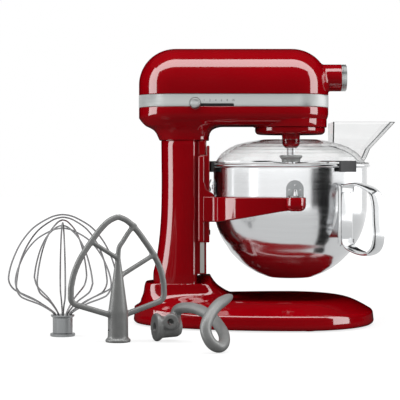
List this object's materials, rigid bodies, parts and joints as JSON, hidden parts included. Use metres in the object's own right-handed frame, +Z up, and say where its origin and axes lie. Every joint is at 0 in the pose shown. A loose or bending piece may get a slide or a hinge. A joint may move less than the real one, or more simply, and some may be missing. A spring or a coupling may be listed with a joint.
{
  "type": "stand mixer",
  "caption": "Bowl-lift stand mixer with steel bowl, clear pouring shield, planetary drive, front hub and loose wire whip, flat beater and dough hook.",
  "frame": {"origin": "on the table under the middle of the bowl and the planetary drive's axis, 2 mm below the base's rim", "axes": "+Z up, +X towards the front hub, +Y towards the side with the lift lever"},
  "size_m": [0.5629, 0.5375, 0.419],
  "materials": {
    "red_paint": "high-gloss candy red paint",
    "trim_metal": "satin",
    "bowl_steel": "polished",
    "ear_steel": "satin",
    "tool_coating": "satin grey coating",
    "whip_steel": "polished",
    "machined_steel": "machined",
    "rail_steel": "satin",
    "cast_aluminium": "as cast",
    "bush_bronze": "machined",
    "copper": "bare copper",
    "black_plastic": "fine texture",
    "circuit_board": "solder mask",
    "foot_rubber": "matte",
    "clear_plastic": "clear moulded"
  },
  "bodies": {
    "stand": {"base_casting": "red_paint", "bottom_cover": "black_plastic", "rubber_feet": "foot_rubber", "column_casting": "red_paint", "column_bolts": "machined_steel", "lower_housing": "red_paint", "neck_bolts": "machined_steel", "upper_housing": "red_paint", "housing_screws": "machined_steel", "trim_band": "trim_metal", "hub_sleeve": "machined_steel", "hub_ring": "trim_metal", "guide_rails": "rail_steel", "lever_bush": "bush_bronze", "cord_gland": "black_plastic", "control_board": "circuit_board", "speed_track": "black_plastic", "ring_gear": "machined_steel", "centre_bearings": "machined_steel", "gear_plate_front": "cast_aluminium", "gear_plate_rear": "cast_aluminium", "shaft_bushes": "bush_bronze", "motor_cradle": "cast_aluminium", "motor_stator": "machined_steel", "stator_coils": "copper", "motor_end_plate": "cast_aluminium", "brush_holders": "black_plastic"},
    "speed_lever": {"speed_knob": "trim_metal", "speed_stem": "black_plastic"},
    "hub_cap": {"hub_cap": "trim_metal"},
    "hub_screw": {"hub_screw": "black_plastic"},
    "rotor": {"rotor_shaft": "machined_steel", "rotor_core": "machined_steel", "commutator": "copper", "cooling_fan": "black_plastic"},
    "layshaft": {"layshaft": "machined_steel"},
    "hub_drive": {"hub_drive_shaft": "machined_steel"},
    "planetary": {"planetary_housing": "red_paint", "centre_shaft": "machined_steel", "bevel_wheel": "machined_steel", "beater_bushes": "bush_bronze"},
    "beater_spindle": {"beater_shaft": "machined_steel", "planet_pinion": "machined_steel", "fitted_beater": "tool_coating"},
    "carriage": {"lift_yoke": "red_paint", "slide_block": "machined_steel", "latch_spring": "machined_steel"},
    "lift_lever": {"lift_lever": "black_plastic", "lift_crank": "machined_steel"},
    "bowl": {"bowl": "bowl_steel", "bowl_ears": "ear_steel", "bowl_handle": "bowl_steel", "latch_stud": "bowl_steel"},
    "shield": {"pouring_shield": "clear_plastic", "rim_clips": "black_plastic"},
    "whip": {"whip_ferrule": "whip_steel", "whip_wires": "whip_steel"},
    "flat_beater": {"flat_beater": "tool_coating"},
    "dough_hook": {"dough_hook": "tool_coating"}
  },
  "joints": [
    {"name": "speed_control", "type": "slide", "parent": "stand", "child": "speed_lever", "axis": [1, 0, 0], "range_m": [0, 0.052]},
    {"name": "hub_cap_hinge", "type": "hinge", "parent": "stand", "child": "hub_cap", "pos_m": [0.08315, 0.0235, 0.375], "axis": [0, 0, 1], "range_deg": [0, 110]},
    {"name": "hub_screw_turn", "type": "hinge", "parent": "stand", "child": "hub_screw", "pos_m": [0.068, 0.03, 0.375], "axis": [0, 1, 0], "range_deg": [0, 360]},
    {"name": "planetary_spin", "type": "hinge", "parent": "stand", "child": "planetary", "pos_m": [0, 0, 0.3], "axis": [0, 0, 1], "continuous": true},
    {"name": "beater_spin", "type": "hinge", "parent": "planetary", "child": "beater_spindle", "pos_m": [0, -0.024, 0.27], "axis": [0, 0, 1], "continuous": true},
    {"name": "layshaft_spin", "type": "hinge", "parent": "stand", "child": "layshaft", "pos_m": [-0.05, 0, 0.375], "axis": [1, 0, 0], "continuous": true},
    {"name": "hub_drive_spin", "type": "hinge", "parent": "stand", "child": "hub_drive", "pos_m": [0.04, 0, 0.375], "axis": [1, 0, 0], "continuous": true},
    {"name": "rotor_spin", "type": "hinge", "parent": "stand", "child": "rotor", "pos_m": [-0.12, 0, 0.353], "axis": [1, 0, 0], "continuous": true},
    {"name": "carriage_lift", "type": "slide", "parent": "stand", "child": "carriage", "axis": [0, 0, 1], "range_m": [-0.028, 0]},
    {"name": "lift_lever_turn", "type": "hinge", "parent": "stand", "child": "lift_lever", "pos_m": [-0.186, 0.04, 0.112], "axis": [0, 1, 0], "range_deg": [0, 90.1]},
    {"name": "bowl_lift_off", "type": "slide", "parent": "carriage", "child": "bowl", "axis": [0, 0, 1], "range_m": [0, 0.005]},
    {"name": "shield_turn", "type": "hinge", "parent": "bowl", "child": "shield", "pos_m": [0, 0, 0.243], "axis": [0, 0, 1], "range_deg": [-20, 25]},
    {"name": "whip_lift", "type": "slide", "parent": "stand", "child": "whip", "axis": [0, 0, 1], "range_m": [0, 0.2]},
    {"name": "flat_beater_lift", "type": "slide", "parent": "stand", "child": "flat_beater", "axis": [0, 0, 1], "range_m": [0, 0.2]},
    {"name": "dough_hook_lift", "type": "slide", "parent": "stand", "child": "dough_hook", "axis": [0, -0.7071, 0.7071], "range_m": [0, 0.2]}
  ],
  "couplings": [
    {"joint": "beater_spin", "follows": "planetary_spin", "ratio": -3},
    {"joint": "layshaft_spin", "follows": "planetary_spin", "ratio": -3},
    {"joint": "hub_drive_spin", "follows": "planetary_spin", "ratio": 3},
    {"joint": "rotor_spin", "follows": "planetary_spin", "ratio": 9},
    {"joint": "lift_lever_turn", "follows": "carriage_lift", "rad_per_m": -56.1}
  ]
}
